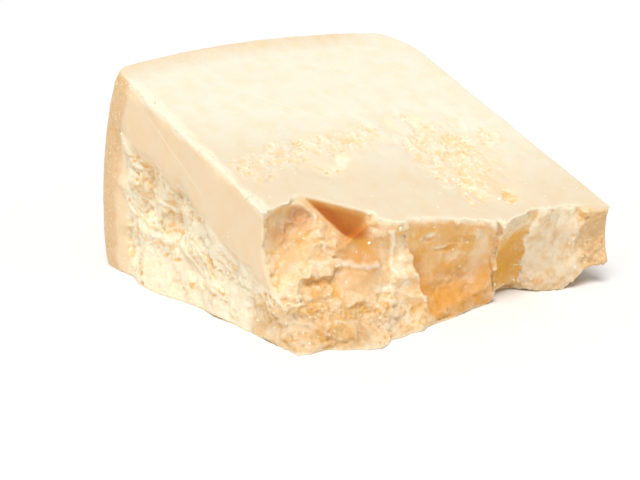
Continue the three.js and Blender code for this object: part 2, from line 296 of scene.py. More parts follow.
def skin_depth(p):
    """How far a point lies inside the wheel's outside."""
    from_axis = math.hypot(p.y, p.z)
    along = (p.x - WIDTH) / SHOULDER_ALONG + 1.0
    out = (from_axis - WHEEL_RADIUS) / SHOULDER_RADIAL + 1.0
    if along > 0.0 and out > 0.0:
        share = math.hypot(along, out)
        return (1.0 - share) * share / math.hypot(along / SHOULDER_ALONG, out / SHOULDER_RADIAL)
    off_middle = (p.x - WIDTH / 2) / (WIDTH / 2)
    radius = WHEEL_RADIUS + BARREL_BULGE * (1.0 - off_middle * off_middle)
    return min(radius - from_axis, WIDTH - p.x)


def below_top(p):
    """How far a point lies below the plane of the top cut."""
    return p.y * math.sin(SECTOR_ANGLE) - p.z * math.cos(SECTOR_ANGLE)


def past_left(p):
    """How far a point lies inside the plane of the left cut."""
    return p.x - END_CUT_SLANT * (WHEEL_RADIUS - p.y)


def broken_share(p):
    """1 on the faces that broke or tore, 0 on the cut faces, the rind and the ground."""
    inner = ramp(below_top(p), *BREAK_UNDER_TOP) * ramp(skin_depth(p), *BREAK_IN_RIND)
    inner *= ramp(p.z, *BREAK_OFF_GROUND)
    if inner == 0.0 or past_left(p) > LEFT_REACH:
        return inner
    tear = TEAR_HEIGHT + TEAR_RISE * (p.y - TEAR_RADIUS)
    wander = TEAR_WANDER * wave(Vector((0.0, p.y, p.z)), 9.0)
    sliced = max(ramp(p.z - tear + wander, -2.0, 2.0), ramp(p.y, TORN_TO, TORN_TO + 4.0))
    past = ramp(past_left(p) + 0.8 * wave(p, 4.0), *BREAK_IN_LEFT)
    return inner * (1.0 - sliced * (1.0 - past))


# Patches of the top cut that crumbled, as X, radius, length and depth from front to back.
TOP_PATCHES = [
    (104, 137, 20, 20), (94, 116, 12, 20), (62, 153, 26, 9),
    (30, 149, 16, 9), (131, 137, 8, 7), (17, 145, 8, 8),
]


def crumbled_share(p):
    """1 where the top cut crumbled."""
    below = below_top(p)
    if below > CRUMBLED_DEPTH[1]:
        return 0.0
    radius = math.hypot(p.y, p.z)
    share = 0.0
    for x, middle, along, deep in TOP_PATCHES:
        share += math.exp(-(((p.x - x) / along) ** 2) - ((radius - middle) / deep) ** 2)
    ragged = 0.35 * wave(p, 7.0) + 0.2 * wave(p, 2.5)
    crumbled = ramp(share + ragged, 0.5, 0.85) * (1.0 - ramp(below, *CRUMBLED_DEPTH))
    return crumbled * ramp(skin_depth(p), *CRUMBLED_OFF_RIND)


def worn_edge(p, normal):
    """1 along the top cut's left edge and broken front edge, where they have worn and crumbled."""
    below = below_top(p)
    if below > WORN_DEPTH:
        return 0.0
    reach = 1.2 + 1.3 * wave(p, 6.0)
    inner = ramp(skin_depth(p), *WORN_OFF_RIND)
    if past_left(p) < WORN_DEPTH:
        reach += 0.8 + 1.2 * wave(p, 11.0)
        beside = max(below, 0.5 * past_left(p))
        return (1.0 - ramp(beside, reach - 0.5, reach + 0.5)) * inner
    reach += 0.6
    steep = (1.0 - ramp(normal.z, 0.7, 0.88)) * (1.0 - 0.8 * band(p.x, NOTCH_LEFT, NOTCH_RIGHT, 1.0))
    return steep * on_front(p) * (1.0 - ramp(below, reach - 0.5, reach + 0.5)) * inner


# The clean facets of the break, seen from the front: X, height, half width, half height, and how
# smooth and how amber each is.
CLEAN_FACETS = {
    "dry middle of the right block": (121, 19, 11, 15, 0.85, 0.25),
    "hollow under the notch": (41, 29, 6.5, 8.5, 0.85, 1.0),
    "wall of the trough": (39, 19, 7.5, 5, 0.8, 0.7),
    "left edge of the right block": (103, 15, 7.5, 13, 0.8, 1.0),
    "recess in the left corner": (15, 41, 11, 8, 0.45, 0.35),
    "side of the notch": (18, 32, 9, 8, 0.5, 0.8),
    "ridge under the scar's rim": (50, 32, 5, 9, 0.6, 0.6),
    "shoulder beside the notch": (47.5, 40.5, 4.5, 4.5, 0.9, 0.3),
    "foot of the scar": (72, 6, 16, 5, 0.3, 1.0),
    "crevice in the ledge": (25.5, 19, 6, 2.5, 0.0, 0.7),
    "foot of the right block": (122, 5, 11, 4, 0.2, 0.8),
    "low toe": (24, 5, 14, 4, 0.0, 0.8),
}
# Rough spots of the clean facets: X, height, half width and half height.
ROUGH_SPOTS = [
    (66, 31, 3.5, 2.5), (73, 25.5, 4, 1.8), (85, 30, 2, 4.5),
    (79, 21, 6, 2), (72, 12, 9, 4), (84, 11, 4, 6),
]
# The golden patches of the front: dense paste, and at the scar's foot, under the ledge and in the
# notch's hollow also painted shade. X, height, half width, half height, and how golden each is.
GOLDEN_PATCHES = {
    "foot of the scar": (74, 8, 17, 6, 0.6),
    "underside of the ledge": (25, 18, 8, 3, 0.5),
    "hollow under the notch": (41, 28, 6, 7, 0.25),
    "toe": (22, 9, 14, 5, 0.35),
    "side of the rind": (139, 20, 5, 7, 0.25),
}
# The dry, pale patches of the front: X, height, half width, half height, and how pale each is.
PALE_PATCHES = {
    "cap of the right block": (101, 33, 11, 5, 0.6),
    "right side of the scar": (87, 24, 3.0, 12, 0.45),
    "rim of the scar": (73, 38.5, 17, 2.0, 0.6),
    "chips under the scar's rim": (76, 36.5, 2, 1.8, 1.0),
    "crumbs over the crease": (91, 34, 3, 3, 1.0),
    "rough spot of the scar": (67, 32.5, 1.6, 1.2, 1.0),
    "grains beside it": (63.5, 31, 1, 0.8, 0.9),
    "second rough spot": (72, 26, 2.4, 1, 0.9),
    "third rough spot": (85, 30, 1.5, 3, 0.7),
    "band across the scar": (78, 22, 6, 2, 0.45),
    "ridge beside the scar": (53, 22, 3, 12, 0.5),
    "flakes on the ridge": (45.5, 16.5, 4.5, 2.0, 0.9),
    "ledge": (26, 25, 8, 1.4, 0.5),
    "left lump of the toe": (12, 9, 6, 3, 0.5),
    "right lump of the toe": (45, 5, 7, 3, 0.5),
}
# Painted shadow on patches of the front where little light falls, low down and in the notch's hollow: X,
# height, half width, half height, and how dark each is.
PAINTED_SHADOW_PATCHES = {
    "right block": (121, 12, 14, 18, 1.0),
    "toe": (26, 6, 28, 10, 1.0),
    "trough": (38, 19, 9, 6, 0.9),
    "hollow under the notch": (41, 28, 7, 8, 0.8),
    "foot of the scar": (73, 6, 17, 9, 0.6),
}
# Painted shade in the hollows of the front that lie in shade: X, height, half width, half height, and
# how deep amber each is.
SHADED_PATCHES = {
    "hollow under the notch": (41, 28, 6.5, 7, 0.2),
    "right part of the corner recess": (24, 41, 4.5, 5, 0.45),
    "left part of the corner recess": (15.5, 37, 5.5, 3.5, 0.3),
}
# Painted shadow of a loose piece in front, on the scar's lower left corner: X, height, half width, half
# height, and how deep amber it is.
CORNER_OF_SCAR = {"corner of the scar": (62, 16, 4, 9, 0.35)}


def patch(p, x, z, wide, tall):
    """1 in the middle of a rounded patch of the front and 0 past its edge."""
    return spot((p.x - x) / wide, (p.z - z) / tall)


def strongest(p, patches):
    """The strongest of the named patches at a point, each with its own strength."""
    return max(strength * patch(p, *place) for *place, strength in patches.values())


def on_front(p):
    """1 on the broken front and its toe, 0 on the torn left end."""
    inner = max(ramp(past_left(p), *FRONT_PAST_LEFT), 1.0 - ramp(p.z, *TOE_HEIGHT))
    return inner * (1.0 - ramp(p.y, *FRONT_BACK))


def notch_valley(x):
    """Height of the notch's valley."""
    return NOTCH_TOP - NOTCH_FALL * (x - NOTCH_LEFT)


def in_scar(p):
    """1 on the clean scar of the front."""
    lean = SCAR_LEAN * (p.z - SCAR_TOP)
    return band(p.x, SCAR_LEFT + lean, SCAR_RIGHT + lean, 0.6)


def shaded(p):
    """How much painted shade, in deep amber, lies where the break is in shade: on the notch's wall above
    its foot, in the shaded hollows, at the scar's foot and at its corner.
    """
    above = p.z - notch_valley(p.x)
    wall = band(p.x, NOTCH_LEFT, NOTCH_RIGHT, 1.5) * ramp(above, -0.5, 0.5)
    wall *= 1.0 - 0.35 * ramp(above, 1.0, 12.0)
    wall *= ramp(p.z, NOTCH_FOOT, NOTCH_FOOT + 3.0)
    # Painted shade at the scar's foot, where little light reaches.
    foot = 0.22 * in_scar(p) * (1.0 - ramp(p.z, *SCAR_SHADED_FOOT))
    corner = strongest(p, CORNER_OF_SCAR) * in_scar(p)
    return max(wall, strongest(p, SHADED_PATCHES), foot, corner) * on_front(p)


def facets(p):
    """How smooth and how amber the broken front is at a point."""
    front = on_front(p)
    if front == 0.0:
        return 0.0, 0.0
    smooth = amber = 0.0
    for *place, how_smooth, how_amber in CLEAN_FACETS.values():
        share = patch(p, *place)
        smooth = max(smooth, how_smooth * share)
        amber = max(amber, how_amber * share)
    scar = in_scar(p) * ramp(p.z, SCAR_FOOT, SCAR_FOOT + 5.0)
    above = p.z - notch_valley(p.x)
    # The notch's wall is amber: its clean facet's own colour, and painted glow of the light that comes
    # through the rim above it.
    notch = band(p.x, NOTCH_LEFT, NOTCH_RIGHT, 1.0) * ramp(above, -3.5, -2.0)
    smooth = max(smooth, (0.6 + 0.25 * ramp(p.z, *SCAR_ROUGH_FOOT)) * scar, 0.97 * notch) * front
    for place in ROUGH_SPOTS:
        smooth *= 1.0 - 0.8 * patch(p, *place)
    clouded = 0.8 + 0.35 * billows(p, 8.0, 3)
    amber = max(amber, clouded * scar, notch * (0.6 + 0.4 * ramp(above, -0.5, 0.5))) * front
    return smooth, amber


def goldness(p):
    """How golden the broken front is at a point: dense paste, and painted shade on the notch's wall and
    towards the scar's foot.
    """
    ragged = wandering(p, *PATCH_BORDER)
    above = p.z - notch_valley(p.x)
    wall = band(p.x, NOTCH_LEFT, NOTCH_RIGHT, 1.0) * ramp(above, -0.5, 0.5)
    blotches = ramp(billows(p, 7.0, 4), -0.1, 0.5)
    scar = in_scar(p) * (0.1 + 0.5 * blotches + 0.25 * (1.0 - ramp(p.z, *SCAR_GOLDEN_FOOT)))
    block = band(ragged.x, BLOCK_LEFT, flake_edge(ragged.z), 0.6) * band(ragged.z, 3.0, BLOCK_CAP, 2.5)
    block *= 0.8 + 0.3 * wave(p, 4.0)
    freckles = 0.5 * ramp(ragged.x, BLOCK_LEFT, BLOCK_LEFT + 4.0)
    freckles *= ramp(wave(p, 3.0, HALF), 0.1, 0.5)
    return max(strongest(ragged, GOLDEN_PATCHES), 0.75 * wall, scar, block, freckles) * on_front(p)


def dullness(p):
    """How strong the painted shadow on the broken front is at a point."""
    return strongest(p, PAINTED_SHADOW_PATCHES) * on_front(p)


def paleness(p):
    """How dry and pale the broken front is at a point."""
    if on_front(p) == 0.0:
        return 0.0
    ragged = wandering(p, *PATCH_BORDER)
    past = ragged.x - flake_edge(p.z)
    pale = (0.9 - 0.2 * ramp(past, 0.0, 2.0)) * ramp(past, -0.4, 0.4)
    pale *= 1.0 - ramp(ragged.x, *RIND_SIDE)
    pale *= 1.0 - 0.7 * ramp(wave(p, 4.0, HALF) + 0.3 * wave(p, 1.5), -0.1, 0.4)
    return max(pale, 1.0 - ramp(abs(past), 0.3, 0.8), strongest(ragged, PALE_PATCHES)) * on_front(p)


# ---- Relief ---------------------------------------------------------------------------------------

# Dents, and bumps where the depth is below zero: place along the face, height, half width, half
# height and depth. On the front the place is X, and on the torn left end it is the radius.
FRONT_DENTS = {
    "crevice under the ledge": (25.5, 19.5, 5.5, 1.2, 0.5),
    "ledge": (27.0, 23.5, 9.0, 3.0, -1.8),
    "pit in the ledge": (19.5, 24.5, 1.4, 1.4, 1.2),
    "corner recess": (15.0, 41.0, 8.0, 5.5, 0.4),
    "pit in the corner recess": (20.0, 38.0, 2.5, 2.0, 0.8),
    "hollow in the toe": (16.0, 12.0, 6.0, 3.5, 1.0),
    "fold in the toe": (34.0, 10.0, 6.0, 2.5, 1.0),
    "lump of the toe": (24.0, 6.0, 6.0, 3.0, -1.4),
    "dimple of the scar": (66.0, 31.0, 2.6, 2.0, 0.5),
    "second dimple of the scar": (72.5, 25.0, 2.4, 1.2, 0.4),
    "dent beside the crease": (86.0, 29.0, 1.5, 3.0, 0.5),
    "chips under the scar's rim": (76.0, 36.5, 1.6, 1.6, -0.8),
    "crumbs over the crease": (91.0, 33.0, 3.0, 5.0, -0.6),
    "fold of the scar": (79.0, 28.0, 5.0, 1.6, 0.5),
    "crack of the right block": (119.5, 24.0, 0.6, 10.0, 0.4),
    "second crack": (123.5, 22.0, 0.6, 11.0, 0.4),
    "side of the rind": (131.5, 22.0, 0.7, 9.0, -0.8),
}
LEFT_DENTS = {
    "top pit": (191.5, 52.0, 2.5, 4.5, 0.9),
    "upper streak": (185.0, 42.0, 1.5, 4.5, 0.9),
    "shell of the upper flake": (190.0, 41.0, 5.0, 9.0, 0.7),
    "deep pit": (190.5, 29.5, 2.6, 3.0, 1.1),
    "wide hollow": (175.0, 27.5, 8.0, 5.5, 1.1),
    "right pit": (167.0, 40.0, 1.8, 3.5, 1.1),
    "right streak": (160.0, 33.0, 1.2, 4.0, 0.9),
    "flute": (202.8, 19.0, 1.4, 15.0, 0.5),
    "foot of the flute": (191.0, 7.0, 3.0, 5.0, 0.9),
    "low pit": (154.0, 26.0, 1.6, 2.0, 0.9),
    "small pit": (146.0, 20.0, 1.3, 1.6, 0.8),
}
# Thin ridges, and steps where the height is below zero, as lines through (place, height) points,
# half width and height.
FRONT_RIDGES = {
    "rim between the troughs": ([(33.0, 25.0), (39.0, 23.8), (44.5, 24.0)], 0.9, 0.7),
    "step of the toe": ([(9.0, 17.5), (18.0, 15.5), (28.0, 14.5)], 0.8, -0.9),
    "fold beside the scar": ([(50.0, 36.0), (51.5, 28.0), (50.0, 20.0)], 0.9, 0.6),
}
LEFT_RIDGES = {
    "rim of the shell": (
        [(201.5, 48.0), (202.5, 40.5), (201.5, 33.0), (197.0, 28.5), (197.3, 22.0)], 1.0, 1.0,
    ),
    "lip under the hollow": ([(194.0, 24.0), (187.0, 21.0), (180.0, 20.5), (171.0, 22.5)], 1.5, 0.6),
    "fringe beside the rind": ([(204.0, 36.0), (206.0, 25.0), (205.6, 12.0), (206.5, 2.0)], 1.1, 1.1),
    "inner lip of the flute": ([(197.3, 22.0), (199.0, 14.0), (198.6, 5.0)], 1.2, 1.1),
    "upper rib": ([(183.0, 45.0), (180.0, 36.0), (172.0, 33.0)], 0.9, 0.7),
    "rib beside the hollow": ([(166.0, 36.0), (165.0, 28.0), (163.0, 20.0)], 0.9, 0.6),
    "first line of the fan": ([(166.0, 21.0), (158.0, 15.5), (149.0, 10.0)], 0.7, 0.5),
    "second line of the fan": ([(160.0, 25.0), (150.0, 18.5), (140.0, 11.0)], 0.7, 0.5),
}
# The right block shed a flake: this is its edge as height over X, and the step that it left.
FLAKE_EDGE = [(11.0, 111.5), (22.0, 110.5), (34.0, 114.0)]
FLAKE_STEP = 0.9
# The finer relief: sizes in millimetres, each with its share. The waves' shares are millimetres too.
LUMP_SIZE = 11.0
BOWLS = ((9.0, 1.1), (4.0, 0.5))
CHIPS = ((4.0, 0.5), (2.2, 0.4))
PULLED_WAVES = ((5.0, 0.5), (1.8, 0.15))
CUT_WAVES = ((9.0, 0.1), (2.2, 0.05))
RIND_WAVES = ((14.0, 0.25), (3.0, 0.12))


def dents(p, place, dent_table):
    """How deep the named dents of one face are at a point. Their borders are ragged."""
    ragged = 0.3 * billows(p, 3.5, 4, 0.7)
    depth = 0.0
    for middle, height, wide, tall, deep in dent_table.values():
        across = (place - middle) / wide
        up = (p.z - height) / tall
        if abs(across) < 1.7 and abs(up) < 1.7:
            depth += deep * ramp(spot(across, up) + ragged, 0.3, 0.7)
    return depth


def to_stretch(place, height, start, end):
    """Distance from a point of a face to a straight stretch of line on it."""
    along, up = end[0] - start[0], end[1] - start[1]
    share = ((place - start[0]) * along + (height - start[1]) * up) / (along * along + up * up)
    share = max(0.0, min(1.0, share))
    return math.hypot(place - start[0] - share * along, height - start[1] - share * up)


def ridges(p, place, ridge_table):
    """Height of the thin ridges of one face at a point, and shares of their crests and creases."""
    height = crest = crease = 0.0
    for points, wide, tall in ridge_table.values():
        away = min(to_stretch(place, p.z, a, b) for a, b in zip(points, points[1:])) / wide
        share = 1.0 - ramp(away, 0.2, 1.4)
        height += tall * share
        if tall > 0.0:
            crest = max(crest, share)
            crease = max(crease, 1.0 - ramp(abs(away - 1.8), 0.1, 0.7))
    return height, crest, crease * (1.0 - crest)


def marks(p, front):
    """Depth of the dents and what there is of the ridges, on the front or on the torn left end."""
    if front:
        return dents(p, p.x, FRONT_DENTS), ridges(p, p.x, FRONT_RIDGES)
    return dents(p, p.y, LEFT_DENTS), ridges(p, p.y, LEFT_RIDGES)


def pits(p):
    """How deep the small gritty pits are at a point, from 0 to 1. They come in groups."""
    group = ramp(wave(p, 9.0, HALF), 0.0, 0.3)
    return group * ramp(wave(p, 1.8), 0.0, 0.45)


def flake_edge(z):
    """X of the edge of the right block's flake at a height."""
    (low_z, low_x), (mid_z, mid_x), (high_z, high_x) = FLAKE_EDGE
    if z < mid_z:
        return low_x + (mid_x - low_x) * (z - low_z) / (mid_z - low_z)
    return mid_x + (high_x - mid_x) * (z - mid_z) / (high_z - mid_z)


def chip(p, size):
    """Height from -1 to 1 of the flat, tilted chip that a point lies on."""
    place = p / size
    centre = noise.voronoi(place)[1][0]
    tilt = noise.cell_vector(centre * 9.0) - HALF
    step = noise.cell(centre * 7.0) - 0.5
    return max(-1.0, min(1.0, 1.2 * step + 1.7 * (place - centre).dot(tilt)))


def grain(p, size):
    """Height from -1 to 1 of round grains packed side by side."""
    return 1.0 - 2.2 * noise.voronoi(p / size)[0][0]


def scoops(p, size):
    """Height from -0.5 to about 0.8 of the shallow bowls that flakes left side by side."""
    return 1.5 * noise.voronoi(p / size)[0][0] ** 2 - 0.5


def layered(form, p, layers):
    """A form at several sizes on top of each other."""
    return sum(share * form(p, size) for size, share in layers)


def drawn_out(p, front):
    """A point for the lumps and bowls: on the torn end they are drawn out upwards."""
    drawn = Vector((p.x, p.y, p.z * (0.4 + 0.6 * front)))
    return wandering(drawn, 6.0, 1.6)


def broken_relief(p, smooth, chip_depth, grain_depth):
    """Relief of the broken faces, in millimetres."""
    rough = 1.0 - smooth
    front = on_front(p)
    drawn = drawn_out(p, front)
    lumps = billows(drawn, LUMP_SIZE, 5)
    bowls = layered(scoops, drawn, BOWLS)
    crumbly = ramp(wave(p, 8.0, HALF), -0.05, 0.4)
    chips = crumbly * layered(chip, p, CHIPS)
    grains = (0.2 + 0.8 * crumbly) * (0.7 * grain(p, 1.4) + 0.5 * wave(p, 0.8))
    height = rough * (chip_depth * (0.8 * lumps + 0.9 * bowls + 0.8 * chips) + grain_depth * grains)
    pulled = Vector((p.x + 0.7 * p.z, p.y, 0.3 * p.z))
    height += smooth * layered(wave, pulled, PULLED_WAVES)
    ragged = wandering(p, 3.0)
    height -= 0.6 * rough * pits(p)
    grit = 0.35 * grain(p, 1.3) + 0.3 * wave(p, 0.8)
    if front > 0.0:
        flake = FLAKE_STEP * ramp(ragged.x - flake_edge(p.z), -0.5, 0.5)
        dent, (ridge, _, _) = marks(ragged, True)
        height += front * (flake - dent + ridge + grit * ramp(dent, 0.2, 1.0))
    if front < 1.0:
        dent, (ridge, _, _) = marks(ragged, False)
        height += (1.0 - front) * (grit * ramp(dent, 0.2, 1.0) - dent + ridge)
    return height


def relief(p, normal, sizes):
    """How far a point of the surface moves out along its normal, in millimetres."""
    broken = broken_share(p)
    outside = 1.0 - ramp(skin_depth(p), 0.3, 1.2)
    height = (1.0 - broken) * layered(wave, p, RIND_WAVES if outside > 0.5 else CUT_WAVES)
    if broken > 0.0:
        smooth = facets(p)[0]
        height += broken * broken_relief(p, smooth, sizes[0], sizes[1])
    crumbled = crumbled_share(p)
    if crumbled > 0.0:
        lumps = 0.5 * wave(p, 5.0) + 0.45 * chip(p, 3.4) + 0.35 * grain(p, 1.7)
        height -= crumbled * (0.3 + lumps)
    worn = worn_edge(p, normal)
    if worn > 0.0:
        height -= worn * (0.3 + 0.25 * chip(p, 2.6) + 0.12 * grain(p, 1.8))
    return height


# ---- Nodes ----------------------------------------------------------------------------------------


def add(tree, kind, **settings):
    """Adds a node. Settings name its properties, or its inputs by number as in0, in1 and so on, with a
    value, a colour, the output that feeds them, or a node whose first output in use does."""
    node = tree.nodes.new(kind)
    for name, value in settings.items():
        if not (name.startswith("in") and name[2:].isdigit()):
            setattr(node, name, value)
            continue
        socket = node.inputs[int(name[2:])]
        if isinstance(value, bpy.types.Node):
            value = next(output for output in value.outputs if output.enabled)
        if isinstance(value, bpy.types.NodeSocket):
            tree.links.new(value, socket)
        else:
            socket.default_value = rgba(value) if socket.type == "RGBA" else value
    return node


def rgba(colour):
    """A colour with full opacity."""
    return (*colour, 1.0)


def laid_over(tree, base, *coats):
    """Lays coats of colour over a base one after the other. Each has its share, its colour and MIX, or
    MULTIPLY where it tints what lies under it."""
    for share, colour, blend in coats:
        base = add(tree, "ShaderNodeMix", data_type="RGBA", blend_type=blend,
                   in0=share, in6=base, in7=colour)
    return base


def masked(tree, value, ends, mask):
    """A value spread from (low, high) to (to low, to high), times a mask."""
    low, high, to_low, to_high = ends
    spread = add(tree, "ShaderNodeMapRange", in0=value, in1=low, in2=high, in3=to_low, in4=to_high)
    return add(tree, "ShaderNodeMath", operation="MULTIPLY", in0=spread, in1=mask)


def millimetres(tree, origin=Vector()):
    """The point on the piece in millimetres from an origin."""
    place = add(tree, "ShaderNodeTexCoord").outputs["Object"]
    scaled = add(tree, "ShaderNodeMapping", in0=place, in1=-origin / MM, in3=(1 / MM,) * 3)
    return scaled.outputs["Vector"]


# ---- Materials ------------------------------------------------------------------------------------

CHEESE_IOR = 1.45
# The outer normals of the top cut and of the left end, for the lines that the knife left on them.
TOP_NORMAL = Vector((0.0, -math.sin(SECTOR_ANGLE), math.cos(SECTOR_ANGLE)))
LEFT_NORMAL = Vector((1.0, 0.0, 0.0))
LEFT_SCRATCH = ((0.0, 183.0, 70.4), (0.0, 147.0, 44.0))
TOP_SCRATCH = ((41.0, 180.0, 74.6), (69.0, 151.0, 62.5))
SCRATCH_WIDTH = (0.12, 0.35)
SCRATCH_STRENGTH = 0.7
SCRATCH_FADE = 9.0
# Light that dark and warm spots give back, as shares of red, green and blue.
WARM_CLOUD = (1.0, 0.95, 0.86)
WARM_BLOTCH = (0.99, 0.95, 0.86)
DARK_GRANULE = (0.75, 0.55, 0.35)
# Painted shadow: the front's patches where little light falls are multiplied by this.
PAINTED_SHADOW_TINT = (0.86, 0.84, 0.82)
RIND_CLOUD = (0.95, 0.86, 0.72)
RIND_DOT = (0.85, 0.68, 0.5)
SKIN_FRECKLE = (0.78, 0.6, 0.4)
SKIN_PATCH = (0.86, 0.72, 0.52)
SKIN_LINE = (0.88, 0.78, 0.6)
# The dried top turns from its front to its back colour along this direction, between these places.
TOP_TURN = (0.35, 1.0, 0.0)
TOP_TURN_FROM = 138.0
TOP_TURN_TO = 178.0
# The rind's ragged edge wanders this far, and its tan holds on to this share of its depth.
RIND_WANDER = 8.0
RIND_HOLD = 0.8
# What the mesh tells the paste about each of its points, from 0 to 1.
# Two of the tones are painted: deep amber shade on walls in shade, and a grey shadow where little light
# falls; the gold and the chalk are partly painted shade and painted light.
TONES = ("broken", "amber", "hollow", "shade", "chalk", "dull")


def new_material(name, roughness):
    """A node material that is one surface, with its tree and its shader."""
    material = bpy.data.materials.new(name)
    material.use_nodes = True
    tree = material.node_tree
    tree.nodes.clear()
    shader = add(tree, "ShaderNodeBsdfPrincipled")
    shader.inputs["Roughness"].default_value = roughness
    add(tree, "ShaderNodeOutputMaterial", in0=shader)
    return material, tree, shader


def let_light_in(shader, share, colour_reach, depth):
    """Lets a share of the light soak in: how far each colour goes, and the depth in millimetres."""
    shader.inputs["IOR"].default_value = CHEESE_IOR
    shader.inputs["Subsurface Weight"].default_value = share
    shader.inputs["Subsurface Radius"].default_value = colour_reach
    shader.inputs["Subsurface Scale"].default_value = depth * MM


def cut_and_broken(tree, point, colours, tones, upper, blotches):
    """The plain paste, cut or broken. The top cut dried out first: it is less yellow, and cloudy; its
    paleness is also painted light, where the most light falls.
    """
    clouds = add(tree, "ShaderNodeTexNoise", in0=point, in2=1 / 24, in3=3.0)
    paste = laid_over(
        tree, colours.paste,
        (tones["broken"], colours.crag, "MIX"),
        (clouds, WARM_CLOUD, "MULTIPLY"),
    )
    aslant = add(tree, "ShaderNodeVectorMath", operation="DOT_PRODUCT", in0=point, in1=TOP_TURN)
    backwards = add(tree, "ShaderNodeMapRange", in0=aslant, in1=TOP_TURN_FROM, in2=TOP_TURN_TO)
    # The top's pale tones are partly dried paste and partly painted light.
    dried = add(tree, "ShaderNodeMix", data_type="RGBA",
                in0=backwards, in6=colours.top_front, in7=colours.top_back)
    blotch = add(tree, "ShaderNodeMapRange", in0=blotches, in1=0.42, in2=0.68)
    return laid_over(tree, paste, (upper, dried, "MIX"), (blotch, WARM_BLOTCH, "MULTIPLY"))


def amber_facets(tree, point, colours, tones, base):
    """Clean facets let light in and look amber, streaked where the knife's wedge pulled them apart."""
    pulled = add(tree, "ShaderNodeMapping", in0=point, in2=(0.0, math.radians(35), 0.0), in3=(1, 1, 0.3))
    streaks = add(tree, "ShaderNodeTexNoise", in0=pulled, in2=1 / 2.5, in3=5.0, in4=0.65)
    streak = masked(tree, streaks, (0.5, 0.7, 0.0, 0.5), tones["amber"])
    return laid_over(tree, base, (tones["amber"], colours.amber, "MIX"), (streak, colours.chalk, "MIX"))


def mottled(tree, point, colours, tones, base):
    """Hollows and dense spots are golden, the gold of hollows partly painted shade, and dry grains,
    flakes and crumbling spots are pale, the pale of crests and of the torn end partly painted light.
    """
    mottle = add(tree, "ShaderNodeTexNoise", in0=point, in2=1 / 4.5, in3=6.0, in4=0.7)
    return laid_over(
        tree, base,
        (tones["hollow"], colours.golden, "MIX"),
        (tones["chalk"], colours.chalk, "MIX"),
        (masked(tree, mottle, (0.5, 0.34, 0.0, 0.45), tones["broken"]), colours.golden, "MIX"),
        (masked(tree, mottle, (0.52, 0.66, 0.0, 0.5), tones["broken"]), colours.chalk, "MIX"),
    )


def granular(tree, point, colours, tones, base):
    """Granules of 1 mm, each a little lighter or darker than the next, a painted shadow over the front's
    patches where little light falls, and crystals about 0.6 mm across that lie 5 mm apart."""
    granules = add(tree, "ShaderNodeTexVoronoi", in0=point, in2=1.0)
    tone = add(tree, "ShaderNodeSeparateColor", in0=granules.outputs["Color"])
    cells = add(tree, "ShaderNodeTexVoronoi", in0=point, in2=1 / 5)
    crystal = add(tree, "ShaderNodeMapRange", in0=cells, in1=0.05, in2=0.11, in3=0.7, in4=0.0)
    return laid_over(
        tree, base,
        (masked(tree, tone, (0.0, 1.0, 0.0, 0.22), tones["broken"]), DARK_GRANULE, "MULTIPLY"),
        # Painted shadow over the front's patches where little light falls.
        (tones["dull"], PAINTED_SHADOW_TINT, "MULTIPLY"),
        (crystal, colours.chalk, "MIX"),
    )


def scratch(tree, point, ends, face_normal, on_face):
    """1 along a thin line across a face, fading at its two ends."""
    start, end = Vector(ends[0]), Vector(ends[1])
    along = (end - start).normalized()
    across = along.cross(face_normal).normalized()
    off = add(tree, "ShaderNodeVectorMath", operation="DOT_PRODUCT", in0=point, in1=across)
    away = add(tree, "ShaderNodeMath", operation="SUBTRACT", in0=off, in1=across.dot(start))
    distance = add(tree, "ShaderNodeMath", operation="ABSOLUTE", in0=away)
    line = masked(tree, distance, (*SCRATCH_WIDTH, SCRATCH_STRENGTH, 0.0), on_face)
    run = add(tree, "ShaderNodeVectorMath", operation="DOT_PRODUCT", in0=point, in1=along)
    first, last = along.dot(start), along.dot(end)
    begun = masked(tree, run, (first, first + SCRATCH_FADE, 0.0, 1.0), line)
    return masked(tree, run, (last - SCRATCH_FADE, last, 1.0, 0.0), begun)


def scratches(tree, point, upper):
    """Where the knife left a thin pale line on the left cut and another on the top."""
    inwards = add(tree, "ShaderNodeVectorMath", operation="DOT_PRODUCT",
                  in0=point, in1=(1.0, END_CUT_SLANT, 0.0))
    plane = END_CUT_SLANT * WHEEL_RADIUS
    sliced = add(tree, "ShaderNodeMapRange",
                 in0=inwards, in1=plane + 0.4, in2=plane + 1.2, in3=0.8, in4=0.0)
    on_left = scratch(tree, point, LEFT_SCRATCH, LEFT_NORMAL, sliced)
    on_top = scratch(tree, point, TOP_SCRATCH, TOP_NORMAL, upper)
    return add(tree, "ShaderNodeMath", operation="ADD", use_clamp=True, in0=on_left, in1=on_top)


def rind_depth(tree, point, along_axis):
    """How far a point lies inside the wheel's outside, in millimetres."""
    upright = add(tree, "ShaderNodeVectorMath", operation="MULTIPLY", in0=point, in1=(0.0, 1.0, 1.0))
    radius = add(tree, "ShaderNodeVectorMath", operation="LENGTH", in0=upright)
    middle = add(tree, "ShaderNodeMath", operation="SUBTRACT", in0=along_axis, in1=WIDTH / 2)
    square = add(tree, "ShaderNodeMath", operation="MULTIPLY", in0=middle, in1=middle)
    bulge = -BARREL_BULGE / (WIDTH / 2) ** 2
    widest = WHEEL_RADIUS + BARREL_BULGE
    barrel = add(tree, "ShaderNodeMath", operation="MULTIPLY_ADD", in0=square, in1=bulge, in2=widest)
    behind = add(tree, "ShaderNodeMath", operation="SUBTRACT", in0=barrel, in1=radius)
    beside = add(tree, "ShaderNodeMath", operation="SUBTRACT", in0=WIDTH, in1=along_axis)
    return add(tree, "ShaderNodeMath", operation="SMOOTH_MIN", in0=behind, in1=beside, in2=8.0)


